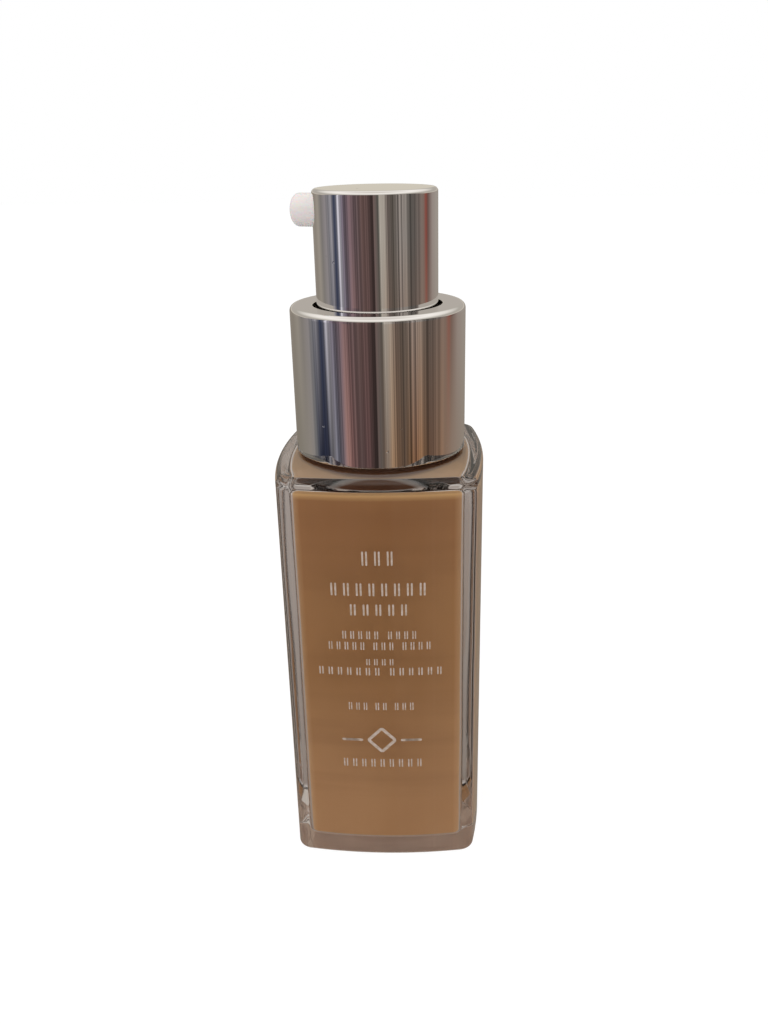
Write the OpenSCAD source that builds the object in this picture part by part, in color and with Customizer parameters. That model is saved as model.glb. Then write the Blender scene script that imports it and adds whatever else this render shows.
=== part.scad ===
// Square glass foundation bottle with a chrome-clad dispensing pump.
// Millimetres, +Z up. The origin is the centre of the base, on the surface it stands on.
// The nozzle points along -X, turned back by nozzle_turn.

/* [Glass bottle] */
// Width across two opposite faces, at their middles
bottle_w = 32.1; // [24:0.1:40]
// Height of the shoulder edge above the base
bottle_h = 67.1; // [52:0.1:90]
// How far each face bulges at its middle
face_bow = 1.2; // [0.3:0.1:1.6]
// Radius of the four upright corners
corner_r = 2.6; // [2:0.1:4]
// Radius of the edge round the base
base_edge_r = 0.8; // [0.8:0.1:1.9]
// Radius of the edge round the shoulder
shoulder_edge_r = 1.2; // [0.6:0.1:1.9]
// Rise of the shoulder from its edge to the neck
shoulder_rise = 0.4; // [0.2:0.1:1]
// Thickness of the side walls
wall = 2.3; // [2:0.1:4]
// Thickness of the glass under the contents
floor_t = 2.5; // [2:0.1:6]
// Thickness of the glass over the contents
ceiling_t = 2.4; // [2:0.1:6]
// Radius of the cavity's upright corners
cavity_corner_r = 1.6; // [1.2:0.1:3]
// Radius of the cavity's top and bottom edges
cavity_edge_r = 0.9; // [0.4:0.1:1.1]
// Depth of the hollow under the base
punt_depth = 0.6; // [0.3:0.1:1]
// Radius of the hollow under the base
punt_r = 10; // [6:0.5:10.5]

/* [Neck and thread] */
// Diameter of the neck, without its thread
neck_d = 19.8; // [17:0.1:24]
// Height of the neck above the shoulder
neck_h = 10; // [9:0.1:14]
// Diameter of the hole in the neck
neck_bore_d = 14.4; // [13:0.1:15.5]
// Rise of the thread in one turn
thread_pitch = 3; // [2.6:0.1:3.6]
// Height of the ridge of the thread
thread_ridge = 1; // [0.7:0.05:1.2]
// Turns of thread on the neck
thread_turns = 1.5; // [1:0.25:1.75]

/* [Closure] */
// Thickness of the screw cap's skirt
cap_wall = 1.3; // [1:0.05:2]
// Thickness of the screw cap's disc
cap_disc_t = 1.45; // [1:0.05:2.5]
// Thickness of the metal of the collar
collar_t = 0.55; // [0.4:0.05:0.9]
// Gap between the collar and the shoulder
collar_gap = 0.3; // [0.2:0.1:1.5]
// Depth of the lip that turns down inside the collar
collar_lip = 1.8; // [1:0.1:2.6]
// Radius of the collar's top edge
collar_edge_r = 0.8; // [0.5:0.1:1]

/* [Actuator] */
// Diameter of the chrome actuator
actuator_d = 18.1; // [16:0.1:21.8]
// Height of the actuator that stands above the collar
actuator_h = 16; // [12:0.1:20]
// Thickness of the metal of the actuator
actuator_t = 0.5; // [0.4:0.05:0.8]
// Radius of the actuator's top edge
actuator_edge_r = 0.6; // [0.55:0.05:1.4]
// Depth of the actuator inside the collar
actuator_overlap = 2.7; // [2:0.1:4]
// Diameter of the nozzle
nozzle_d = 4.7; // [3.5:0.1:5.6]
// Depth of the nozzle's centre below the actuator's top
nozzle_drop = 3.2; // [2.9:0.1:5]
// Diameter of the hole that the contents come out of
orifice_d = 0.9; // [0.6:0.1:1.6]
// Angle of the nozzle behind the -X side
nozzle_turn = 20; // [0:1:45]

/* [Pump] */
// Travel of the actuator
stroke = 5; // [3:0.1:6]
// Travel of the piston on the stem, which opens the stem's port
piston_float = 0.8; // [0.5:0.1:1.2]
// Bore of the pump housing
barrel_d = 8; // [7:0.1:9]
// Wall of the pump housing
barrel_wall = 1.2; // [0.8:0.1:1.6]
// Height of the piston
piston_h = 5; // [4:0.1:7]
// Diameter of the stem
stem_d = 4; // [3.4:0.1:4.6]
// Bore of the stem
stem_bore_d = 2; // [1.4:0.1:2.4]
// Wire of the return spring
spring_wire = 0.6; // [0.4:0.05:0.7]
// Turns of the return spring
spring_turns = 5; // [4:0.5:6]
// Diameter of the ball valve
ball_d = 3; // [2.6:0.1:3.4]
// Lift of the ball valve
ball_lift = 1; // [0.5:0.1:1.5]
// Outside diameter of the dip tube
dip_tube_d = 3.2; // [2.8:0.1:3.6]
// Bore of the dip tube
dip_tube_bore_d = 2; // [1.4:0.1:2.2]
// Gap between the dip tube and the floor of the bottle
dip_tube_gap = 1.2; // [0.8:0.1:3]
// Thickness of the neck gasket
gasket_t = 0.8; // [0.5:0.1:1.5]
// Thickness of the housing's flange
flange_t = 1.2; // [1:0.1:2]

/* [Hidden] */
$fn = 96;

// Clearances
run_fit = 0.06;      // round a shaft or piston that slides or turns
seat_gap = 0.05;     // between faces that only rest on each other
thread_fit = 0.3;    // between the ridge of one thread and the wall of the other
shell_fit = 0.05;    // between a metal shell and the plastic inside it
actuator_fit = 0.6;  // round the actuator, in the collar
turn_gap = 0.1;      // above and below the screw cap's disc
bottom_gap = 0.7;    // below the actuator when it is pressed
fluid_fit = 0.35;    // between the contents and the pump
weld = 0.3;          // how far a ridge is sunk into the wall that carries it
thread_start = 1.8;  // from the top of the neck down to the end of its thread
skirt_gap = 1.3;     // below the screw cap's skirt
flange_inset = 0.3;  // of the housing's flange, inside the neck
guide_l = 6.1;       // of the housing cap's plug, with the flange
nozzle_inset = 0.15; // of the nozzle's end, inside the collar's radius
past = 1;            // how far a cut runs past the face it leaves

// Bottle
half_w = bottle_w / 2;
face_r = face_radius(half_w - corner_r, face_bow);
cavity_half = half_w - wall;
cavity_face_r = face_radius(cavity_half - cavity_corner_r, face_bow);
cavity_low = floor_t;
cavity_high = bottle_h - ceiling_t;
punt_sphere_r = (pow(punt_r, 2) + pow(punt_depth, 2)) / (2 * punt_depth);
neck_r = neck_d / 2;
neck_bore_r = neck_bore_d / 2;
shoulder_z = bottle_h + shoulder_rise;
neck_top = shoulder_z + neck_h;
edge_steps = 4;
face_steps = 8;
corner_steps = 5;

// Thread: both ridges lie on one helix, half a pitch apart
thread_r = neck_r + thread_ridge;
ridge_root_w = 0.45 * thread_pitch;
ridge_crest_w = 0.2 * thread_pitch;
thread_z = neck_top - thread_start - thread_pitch * thread_turns;
cap_thread_turns = thread_turns - 0.25;
cap_thread_z = thread_z + thread_pitch / 2;

// Stack on top of the neck
gasket_z = neck_top + seat_gap;
flange_z = gasket_z + gasket_t;
flange_top = flange_z + flange_t;
flange_r = neck_r - flange_inset;
cap_disc_z = flange_top + turn_gap;
cap_disc_top = cap_disc_z + cap_disc_t;
cap_inner_r = thread_r + thread_fit;
cap_r = cap_inner_r + cap_wall;
cap_skirt_z = shoulder_z + skirt_gap;

// Collar
collar_r = cap_r + shell_fit + collar_t;
collar_z = shoulder_z + collar_gap;
collar_top = cap_disc_top + bottom_gap + stroke + actuator_overlap;
collar_hole_r = actuator_d / 2 + actuator_fit;
liner_t = 0.8;
liner_r = collar_hole_r + liner_t;

// Actuator
actuator_r = actuator_d / 2;
actuator_z = cap_disc_top + stroke + bottom_gap;
actuator_top = collar_top + actuator_h;
actuator_in_r = actuator_r - actuator_t;
core_r = actuator_in_r - shell_fit;
core_top = actuator_top - actuator_t - shell_fit;
core_z = actuator_z + 1;
core_skirt_t = 0.9;
nozzle_r = nozzle_d / 2;
nozzle_z = actuator_top - nozzle_drop;
nozzle_reach = collar_r - nozzle_inset;
nozzle_root = 0.55 * actuator_r;
nozzle_end_r = 0.8 * nozzle_r;
channel_r = 1;
outlet_r = 0.8;
boss_r = stem_d / 2 + 1.4;
boss_z = core_z + 3;
socket_top = core_top - 2 * nozzle_r - 1.3;
plug_z = socket_top - 1;

// Pump, from the top of its housing down
housing_cap_r = flange_r - 3.2;
housing_cap_t = 0.95;
guide_r = stem_d / 2 + run_fit;
barrel_r = barrel_d / 2;
housing_r = barrel_r + barrel_wall;
guide_low = flange_top - guide_l;
stem_top = socket_top - 0.2;
stop_top = guide_low - seat_gap;
stop_t = 1.2;
stop_r = stem_d / 2 + 0.6;
piston_top = stop_top - stop_t - piston_float;
piston_low = piston_top - piston_h;
plate_top = piston_low - seat_gap;
plate_t = 1.2;
plate_r = barrel_r - 0.8;
spring_high = plate_top - plate_t - seat_gap;
spring_l = stroke + spring_wire * spring_turns + 1.1;
spring_low = spring_high - spring_l;
spring_r = plate_r - spring_wire / 2 - 0.2;
ledge_z = spring_low - seat_gap;
ball_r = ball_d / 2;
cage_r = ball_r + 0.4;
seat_r = 0.7 * ball_r;
nib_t = 0.5;
seat_z = ledge_z - ball_lift - 2 * ball_r - nib_t;
ball_z = seat_z + sqrt(pow(ball_r, 2) - pow(seat_r, 2)) + 0.02;
nib_z = ball_z + ball_r + ball_lift + seat_gap;
dip_r = dip_tube_d / 2;
socket_l = 4;
socket_r = dip_r + 1;
dip_top = seat_z - 1;
housing_low = dip_top - socket_l;
cage_wall_z = seat_z - 1;
cone_z = ledge_z - 1;
dip_low = cavity_low + dip_tube_gap;

// Radius of an arc that rises by bow over a half chord
function face_radius(half_chord, bow) = (pow(half_chord, 2) + pow(bow, 2)) / (2 * bow);

// Points of an arc round c, from angle a0 to a1
function arc(c, r, a0, a1, steps) =
    [for (i = [0:steps]) let (a = a0 + (a1 - a0) * i / steps) c + r * [cos(a), sin(a)]];

// A list without its last point
function but_last(points) = [for (i = [0:len(points) - 2]) points[i]];

// Points turned about the origin
function turned(points, a) =
    [for (p = points) [p[0] * cos(a) - p[1] * sin(a), p[0] * sin(a) + p[1] * cos(a)]];

// A square whose faces are arcs of radius flat_r and whose corners are arcs of radius round_r
function bowed_square(half, flat_r, round_r) =
    let (c = half - flat_r,
         p = (c + sqrt(2 * pow(flat_r - round_r, 2) - c * c)) / 2,
         t = atan2(p, p - c),
         side = concat(but_last(arc([c, 0], flat_r, -t, t, face_steps)),
                       but_last(arc([p, p], round_r, t, 90 - t, corner_steps))))
    [for (k = [0:3]) each turned(side, 90 * k)];

// [inset, height] pairs of a block whose bottom and top edges are quarter rounds
function edge_profile(low, high, low_r, high_r) =
    concat([for (a = [0:90 / edge_steps:90]) [low_r * (1 - sin(a)), low + low_r * (1 - cos(a))]],
           [for (a = [0:90 / edge_steps:90]) [high_r * (1 - cos(a)), high - high_r * (1 - sin(a))]]);

// Rings of equal length joined into a closed solid; ring = [points, height]
module loft(rings) {
    n = len(rings[0][0]);
    polyhedron(
        points = [for (ring = rings) each [for (p = ring[0]) [p[0], p[1], ring[1]]]],
        faces = concat(
            [[for (i = [0:n - 1]) i]],
            [for (k = [0:len(rings) - 2], i = [0:n - 1])
                let (j = (i + 1) % n) [k * n + i, (k + 1) * n + i, (k + 1) * n + j]],
            [for (k = [0:len(rings) - 2], i = [0:n - 1])
                let (j = (i + 1) % n) [k * n + i, (k + 1) * n + j, k * n + j]],
            [[for (i = [n - 1:-1:0]) (len(rings) - 1) * n + i]]));
}

// Rings [points, height] of a block with bowed faces and rounded edges
function bowed_rings(half, flat_r, round_r, profile) =
    [for (s = profile) [bowed_square(half - s[0], flat_r - s[0], round_r - s[0]), s[1]]];

// Closed profiles joined into a solid; each section is a list of 3D points
module sweep(sections) {
    n = len(sections[0]);
    last = len(sections) - 1;
    polyhedron(
        points = [for (s = sections) each s],
        faces = concat(
            [[for (j = [0:n - 1]) j]],
            [for (i = [0:last - 1], j = [0:n - 1])
                [i * n + j, (i + 1) * n + j, (i + 1) * n + (j + 1) % n, i * n + (j + 1) % n]],
            [[for (j = [n - 1:-1:0]) last * n + j]]));
}

// A ridge wound as a helix, fading at both ends
module thread(root_r, crest_r, turns, low) {
    steps = round(28 * turns);
    fade_steps = 6;
    outward = crest_r > root_r;
    sections = [for (i = [0:steps])
        let (a = 360 * turns * i / steps,
             z = low + thread_pitch * turns * i / steps,
             fade = min(1, (i + 0.3) / fade_steps, (steps - i + 0.3) / fade_steps),
             crest = root_r + (crest_r - root_r) * fade,
             sink = outward ? root_r - weld : root_r + weld,
             cut = [[sink, -ridge_root_w / 2], [crest, -ridge_crest_w / 2],
                    [crest, ridge_crest_w / 2], [sink, ridge_root_w / 2]])
        [for (j = [0:3]) let (p = cut[outward ? 3 - j : j]) [p[0] * cos(a), p[0] * sin(a), z + p[1]]]];
    sweep(sections);
}

// A tube between two heights
module tube(r, hole_r, low, high) {
    difference() {
        translate([0, 0, low]) cylinder(r = r, h = high - low);
        translate([0, 0, low - past]) cylinder(r = hole_r, h = high - low + 2 * past);
    }
}

// Thick glass body, bored neck and thread in one piece
module glass_bottle() {
    color("gainsboro", 0.45) difference() {
        union() {
            loft(concat(bowed_rings(half_w, face_r, corner_r,
                                    edge_profile(0, bottle_h, base_edge_r, shoulder_edge_r)),
                        [[bowed_square(neck_r + 1, face_r, corner_r), shoulder_z]]));
            translate([0, 0, bottle_h - past]) cylinder(r = neck_r, h = shoulder_rise + neck_h + past);
            thread(neck_r, thread_r, thread_turns, thread_z);
        }
        loft(bowed_rings(cavity_half, cavity_face_r, cavity_corner_r,
                         edge_profile(cavity_low, cavity_high, cavity_edge_r, cavity_edge_r)));
        translate([0, 0, cavity_high - past]) cylinder(r = neck_bore_r, h = neck_top - cavity_high + 2 * past);
        translate([0, 0, punt_depth - punt_sphere_r]) sphere(r = punt_sphere_r);
    }
}

// Contents: they fill the cavity, with a well that the pump lifts out of
module foundation_fluid() {
    color("#86603f") difference() {
        loft(bowed_rings(cavity_half, cavity_face_r, cavity_corner_r,
                         edge_profile(cavity_low, cavity_high, cavity_edge_r, cavity_edge_r)));
        pump_well(housing_r + fluid_fit, cage_wall_z - fluid_fit);
        pump_well(socket_r + fluid_fit, housing_low - fluid_fit);
        pump_well(dip_r + fluid_fit, dip_low - fluid_fit);
    }
}

// A round hole from a height up through the top of the contents
module pump_well(r, low) {
    translate([0, 0, low]) cylinder(r = r, h = cavity_high - low + past);
}

module dip_tube() {
    color("ghostwhite") tube(dip_r, dip_tube_bore_d / 2, dip_low, dip_top);
}

// Barrel with its flange, spring ledge, ball cage and dip tube socket
module pump_housing() {
    color("white") {
        rotate_extrude() polygon([
            [barrel_r, ledge_z], [barrel_r, flange_top], [flange_r, flange_top], [flange_r, flange_z],
            [housing_r, flange_z], [housing_r, cone_z - barrel_wall], [cage_r + 0.9, cage_wall_z],
            [socket_r, cage_wall_z], [socket_r, housing_low], [dip_r, housing_low], [dip_r, dip_top],
            [seat_r, dip_top], [seat_r, seat_z], [cage_r, seat_z], [cage_r, ledge_z]]);
        for (a = [0:120:240])
            rotate([0, 0, a]) translate([ball_r - 0.6, -0.4, nib_z])
                cube([cage_r - ball_r + 0.6 + weld, 0.8, nib_t]);
    }
}

module inlet_ball() {
    color("silver") translate([0, 0, ball_z]) sphere(r = ball_r);
}

// Round wire wound as a helix between the ledge and the stem's plate
module return_spring() {
    sides = 8;
    steps = 18 * spring_turns;
    rise = spring_l - spring_wire;
    sections = [for (i = [0:steps])
        let (a = 360 * spring_turns * i / steps,
             z = spring_low + spring_wire / 2 + rise * i / steps)
        [for (j = [0:sides - 1])
            let (b = -360 * j / sides,
                 r = spring_r + spring_wire / 2 * cos(b))
            [r * cos(a), r * sin(a), z + spring_wire / 2 * sin(b)]]];
    color("silver") sweep(sections);
}

// Plate on the stem's foot: the spring pushes on it, and the piston closes on it
module stem_plate() {
    spigot_r = stem_bore_d / 2 - seat_gap;
    color("whitesmoke") {
        translate([0, 0, plate_top - plate_t]) cylinder(r = plate_r, h = plate_t);
        translate([0, 0, plate_top - seat_gap]) cylinder(r = spigot_r, h = 1.6);
    }
}

// Sliding seal with a lip at each end
module piston() {
    lip_h = 1;
    waist_r = barrel_r - 0.6;
    color("aliceblue") rotate_extrude() polygon([
        [stem_d / 2 + run_fit, piston_low], [barrel_r - run_fit, piston_low],
        [barrel_r - run_fit, piston_low + lip_h], [waist_r, piston_low + 1.6 * lip_h],
        [waist_r, piston_top - 1.6 * lip_h], [barrel_r - run_fit, piston_top - lip_h],
        [barrel_r - run_fit, piston_top], [stem_d / 2 + run_fit, piston_top]]);
}

// Hollow stem with the shoulder that stops it and two ports above its foot
module pump_stem() {
    port_r = 0.5;
    color("whitesmoke") difference() {
        union() {
            translate([0, 0, plate_top]) cylinder(r = stem_d / 2, h = stem_top - plate_top);
            translate([0, 0, stop_top - stop_t]) cylinder(r = stop_r, h = stop_t);
        }
        translate([0, 0, plate_top - past]) cylinder(r = stem_bore_d / 2, h = stem_top - plate_top + 2 * past);
        translate([0, 0, plate_top + 2.6]) rotate([90, 0, 0]) cylinder(r = port_r, h = 2 * stem_d, center = true);
    }
}

// Plug in the top of the housing that guides and retains the stem
module housing_cap() {
    plug_r = barrel_r - shell_fit;
    turret_r = stem_d / 2 + 1.6;
    turret_h = 1.6;
    color("white") rotate_extrude() polygon([
        [guide_r, guide_low], [plug_r, guide_low], [plug_r, flange_top], [housing_cap_r, flange_top],
        [housing_cap_r, flange_top + housing_cap_t], [turret_r, flange_top + housing_cap_t],
        [turret_r, flange_top + housing_cap_t + turret_h], [guide_r, flange_top + housing_cap_t + turret_h]]);
}

module neck_gasket() {
    color("dimgray") tube(flange_r, neck_bore_r - 0.4, gasket_z, flange_z);
}

// Plastic screw cap with an inner thread
module screw_cap() {
    color("ivory") {
        difference() {
            translate([0, 0, cap_skirt_z]) cylinder(r = cap_r, h = cap_disc_top - cap_skirt_z);
            translate([0, 0, cap_skirt_z - past]) cylinder(r = cap_inner_r, h = cap_disc_z - cap_skirt_z + past);
            translate([0, 0, cap_disc_z - past]) cylinder(r = housing_cap_r + 0.3, h = cap_disc_t + 2 * past);
        }
        thread(cap_inner_r, neck_r + thread_fit, cap_thread_turns, cap_thread_z);
    }
}

// Plastic sleeve that stands on the screw cap and holds up the collar's lip
module collar_liner() {
    color("ivory") tube(liner_r, collar_hole_r, cap_disc_top, collar_top - collar_lip);
}

// Chrome collar: outer wall, flat top and a lip turned down round the actuator
module collar_shell() {
    in_r = collar_r - collar_t;
    lip_r = collar_hole_r + collar_t;
    lip_edge_r = 0.35;
    color("silver") rotate_extrude() polygon(concat(
        [[in_r, collar_z], [collar_r, collar_z]],
        arc([collar_r - collar_edge_r, collar_top - collar_edge_r], collar_edge_r, 0, 90, 5),
        arc([collar_hole_r + lip_edge_r, collar_top - lip_edge_r], lip_edge_r, 90, 180, 3),
        [[collar_hole_r, collar_top - collar_lip], [lip_r, collar_top - collar_lip],
         [lip_r, collar_top - collar_t], [in_r - 0.4, collar_top - collar_t], [in_r, collar_top - collar_edge_r]]));
}

// Lays what is drawn along Z on the nozzle's axis
module towards_nozzle() {
    translate([0, 0, nozzle_z]) rotate([0, -90, -nozzle_turn]) children();
}

// White core: it grips the stem and leads the contents to the nozzle
module actuator_core() {
    color("white") difference() {
        rotate_extrude() polygon([
            [0, boss_z], [boss_r, boss_z], [boss_r, plug_z], [core_r - core_skirt_t, plug_z],
            [core_r - core_skirt_t, core_z], [core_r, core_z],
            [core_r, core_top - 0.6], [core_r - 0.6, core_top], [0, core_top]]);
        translate([0, 0, boss_z - past]) cylinder(r = stem_d / 2 + run_fit, h = socket_top - boss_z + past);
        translate([0, 0, boss_z]) cylinder(r = channel_r, h = nozzle_z + channel_r - boss_z);
        towards_nozzle() cylinder(r = outlet_r, h = actuator_r);
        towards_nozzle() translate([0, 0, nozzle_root]) cylinder(r = nozzle_r, h = actuator_r);
    }
}

// Chrome actuator: a cup over the core, pierced for the nozzle
module actuator_shell() {
    in_edge_r = actuator_edge_r - actuator_t;
    in_top = actuator_top - actuator_t;
    color("silver") difference() {
        rotate_extrude() polygon(concat(
            [[actuator_in_r, actuator_z], [actuator_r, actuator_z]],
            arc([actuator_r - actuator_edge_r, actuator_top - actuator_edge_r], actuator_edge_r, 0, 90, 6),
            [[0, actuator_top], [0, in_top]],
            arc([actuator_in_r - in_edge_r, in_top - in_edge_r], in_edge_r, 90, 0, 4)));
        towards_nozzle() cylinder(r = nozzle_r + shell_fit, h = 2 * actuator_r);
    }
}

// White nozzle with a rounded end
module nozzle_tip() {
    orifice_r = orifice_d / 2;
    color("white") towards_nozzle() rotate_extrude() polygon(concat(
        [[orifice_r, nozzle_root], [nozzle_r, nozzle_root]],
        arc([nozzle_r - nozzle_end_r, nozzle_reach - nozzle_end_r], nozzle_end_r, 0, 85, 6),
        [[orifice_r, nozzle_reach]]));
}

glass_bottle();
foundation_fluid();
dip_tube();
pump_housing();
inlet_ball();
return_spring();
stem_plate();
piston();
pump_stem();
housing_cap();
neck_gasket();
screw_cap();
collar_liner();
collar_shell();
actuator_core();
actuator_shell();
nozzle_tip();
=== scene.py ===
"""Looks of a square glass foundation bottle with a chrome-clad pump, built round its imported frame.

Metres, +Z up, origin at the centre of the base, front towards -Y, nozzle towards -X.
"""
from math import cos, pi, radians, sin

import bpy
import numpy as np
from mathutils import Matrix, Vector


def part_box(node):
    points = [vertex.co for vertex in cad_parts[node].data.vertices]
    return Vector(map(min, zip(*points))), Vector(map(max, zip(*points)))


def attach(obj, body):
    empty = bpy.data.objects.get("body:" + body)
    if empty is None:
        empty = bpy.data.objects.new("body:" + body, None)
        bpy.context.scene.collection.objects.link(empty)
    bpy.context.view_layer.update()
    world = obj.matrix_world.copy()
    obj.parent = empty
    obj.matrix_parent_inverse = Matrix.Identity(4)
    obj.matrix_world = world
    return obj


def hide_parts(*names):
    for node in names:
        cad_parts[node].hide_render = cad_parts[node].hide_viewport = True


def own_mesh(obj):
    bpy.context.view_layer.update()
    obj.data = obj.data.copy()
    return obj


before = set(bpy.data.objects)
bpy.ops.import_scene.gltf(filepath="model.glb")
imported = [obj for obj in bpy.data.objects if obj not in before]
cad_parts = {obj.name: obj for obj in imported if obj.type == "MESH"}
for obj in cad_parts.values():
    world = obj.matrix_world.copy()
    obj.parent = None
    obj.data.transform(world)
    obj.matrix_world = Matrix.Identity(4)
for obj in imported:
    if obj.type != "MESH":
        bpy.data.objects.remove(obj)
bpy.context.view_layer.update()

# ---------------------------------------------------------------- sizes, from the frame
MM = 0.001

glass_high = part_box("glass_bottle")[1]
fluid_low, fluid_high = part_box("foundation_fluid")
collar_low, collar_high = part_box("collar_shell")
button_low, button_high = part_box("actuator_shell")
nozzle_low, nozzle_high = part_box("nozzle_tip")
housing_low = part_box("pump_housing")[0]
dip_low, dip_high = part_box("dip_tube")
spring_low, spring_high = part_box("return_spring")

half_w = glass_high[0]
cavity_half = fluid_high[0]
neck_top = glass_high[2]
cavity_z = (fluid_low[2], fluid_high[2])
collar_r = collar_high[0]
button_r = button_high[0]

FACE_BOW = 1.2 * MM
CORNER_R = 2.6 * MM
CAVITY_CORNER_R = 1.6 * MM
BASE_EDGE_R = 0.8 * MM
SHOULDER_EDGE_R = 1.2 * MM
CAVITY_EDGE_R = 0.9 * MM
CEILING_T = 2.4 * MM
SHOULDER_RISE = 0.4 * MM
PUNT_R = 10.0 * MM
PUNT_DEPTH = 0.6 * MM
NECK_R = 9.9 * MM
NECK_BORE_R = 7.2 * MM
THREAD_RIDGE = 1.0 * MM     # how far the ridge stands out of the neck
THREAD_SUNK = 0.25 * MM     # and how deep it is sunk into it
THREAD_HALF = 0.55 * MM     # half of its height
THREAD_END = 1.8 * MM       # from the neck's rim down to its upper end
THREAD_PITCH = 3.0 * MM
THREAD_TURNS = 1.5
METAL_T = 0.5 * MM
BUTTON_EDGE_R = 0.6 * MM
COLLAR_EDGE_R = 0.8 * MM
COLLAR_LIP = 1.8 * MM
COLLAR_LIP_EDGE_R = 0.2 * MM
ACTUATOR_FIT = 0.6 * MM
NOZZLE_TURN = radians(20)
SPRING_WIRE = 0.6 * MM
SPRING_TURNS = 5
WETTED = 0.02 * MM          # how far the liquid's skin is sunk into the glass that it wets
WELL_FIT = 0.35 * MM        # room round the pump, in the liquid
SOFT_EDGE = 0.08 * MM       # the smallest rounding, where an edge looks sharp
HOUSING_R = 5.2 * MM        # the pump's barrel, below the neck
SOCKET_T = 1.0 * MM         # wall of the socket that holds the dip tube
NECK_FILLET = 0.8 * MM      # how far the neck's foot spreads over the shoulder
CAMERA_AT = (10.2 * MM, -156.2 * MM, 114.5 * MM)
CAMERA_TURN = (24.6, 2.69, 1.0)     # degrees down, to the left, and clockwise
PLAIN_GREY = (0.7, 0.7, 0.7)
WHITE_LIGHT = (1.0, 1.0, 1.0)
REPEATED_MIRRORING = 10     # light bounces many times between the walls of the glass

shoulder_edge_z = cavity_z[1] + CEILING_T
shoulder_z = shoulder_edge_z + SHOULDER_RISE


# ---------------------------------------------------------------- surfaces
def srgb(code):
    """A colour written as rrggbb, as linear light."""
    value = np.array([int(code[i:i + 2], 16) for i in (0, 2, 4)]) / 255
    return tuple(np.where(value <= 0.04045, value / 12.92, ((value + 0.055) / 1.055) ** 2.4))


def rounded_path(corners, closed=True, steps=7, hold=0.12 * MM):
    """A path of straight runs with round corners; each corner is (x, z, radius).

    The arc at a corner touches both runs at radius / tan(half the corner's angle) from it. A point
    held a little way along each run keeps the shading of the runs flat.
    """
    points = []
    count = len(corners)
    for i, (x, z, r) in enumerate(corners):
        here = np.array([x, z])
        if not closed and i in (0, count - 1):
            points.append(here[None])
            continue
        before = np.array(corners[i - 1][:2]) - here
        after = np.array(corners[(i + 1) % count][:2]) - here
        length = min(np.linalg.norm(before), np.linalg.norm(after))
        before, after = before / np.linalg.norm(before), after / np.linalg.norm(after)
        half = np.arccos(np.clip(before @ after, -1, 1)) / 2
        reach = min(r / np.tan(half), 0.45 * length)
        r = reach * np.tan(half)
        bisector = (before + after) / np.linalg.norm(before + after)
        centre = here + bisector * r / np.sin(half)
        first, last = here + before * reach - centre, here + after * reach - centre
        sweep = pi - 2 * half
        share = np.linspace(0, 1, steps + 1)[:, None]
        arc_points = centre + (np.sin((1 - share) * sweep) * first
                               + np.sin(share * sweep) * last) / np.sin(sweep)
        held = min(hold, 0.04 * length)
        points += [here[None] + before * (reach + held), arc_points, here[None] + after * (reach + held)]
    return np.concatenate(points)


def revolve(path, turn_steps=160):
    """Grid of a path (radius, height) turned about Z: (r cos a, r sin a, z) for every angle a."""
    a = np.linspace(0, 2 * pi, turn_steps, endpoint=False)
    r, z = path[:, 0, None], path[:, 1, None]
    return np.stack([r * np.cos(a), r * np.sin(a), z + 0 * a], axis=2)


def bowed_square(half, corner_r, bow=FACE_BOW, face_steps=22, corner_steps=12):
    """A square with faces bulged by bow and round corners, as its points and their outward normals.

    A face is an arc of radius (c^2 + bow^2) / 2 bow round (half - radius, 0), where c is the half chord.
    A corner is an arc round (p, p) that touches both neighbouring faces. Insetting moves every point
    against its normal.
    """
    chord = half - corner_r
    flat_r = (chord ** 2 + bow ** 2) / (2 * bow)
    c = half - flat_r
    p = (c + np.sqrt(2 * (flat_r - corner_r) ** 2 - c * c)) / 2
    t = np.arctan2(p, p - c)
    face = np.linspace(-t, t, face_steps, endpoint=False)
    corner = np.linspace(t, pi / 2 - t, corner_steps, endpoint=False)
    points = np.concatenate([
        np.stack([c + flat_r * np.cos(face), flat_r * np.sin(face)], axis=1),
        np.stack([p + corner_r * np.cos(corner), p + corner_r * np.sin(corner)], axis=1)])
    angles = np.concatenate([face, corner])
    quarter = np.arange(4)[:, None] * pi / 2
    turned = np.stack([np.cos(quarter) * points[:, 0] - np.sin(quarter) * points[:, 1],
                       np.sin(quarter) * points[:, 0] + np.cos(quarter) * points[:, 1]], axis=2)
    a = (angles + quarter).ravel()
    return turned.reshape(-1, 2), np.stack([np.cos(a), np.sin(a)], axis=1)


def rings(points, normals, insets, heights):
    """Rings of one outline: each inset by its own amount, at its own height."""
    flat = points[None] - np.asarray(insets)[:, None, None] * normals[None]
    z = np.broadcast_to(np.asarray(heights)[:, None, None], flat.shape[:2] + (1,))
    return np.concatenate([flat, z], axis=2)


def circles(points, radii, heights):
    """Round rings whose points lie at the polar angles of an outline's points."""
    unit = points / np.linalg.norm(points, axis=1)[:, None]
    return rings(unit, unit, 1 - np.asarray(radii), heights)


def between(first, last, shares, lift=0.0):
    """Rings on straight lines between two rings, bulged upwards by lift times 4 s (1 - s)."""
    s = np.asarray(shares)[:, None, None]
    grid = first[None] * (1 - s) + last[None] * s
    grid[..., 2] += lift * 4 * s[..., 0] * (1 - s[..., 0])
    return grid


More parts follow.
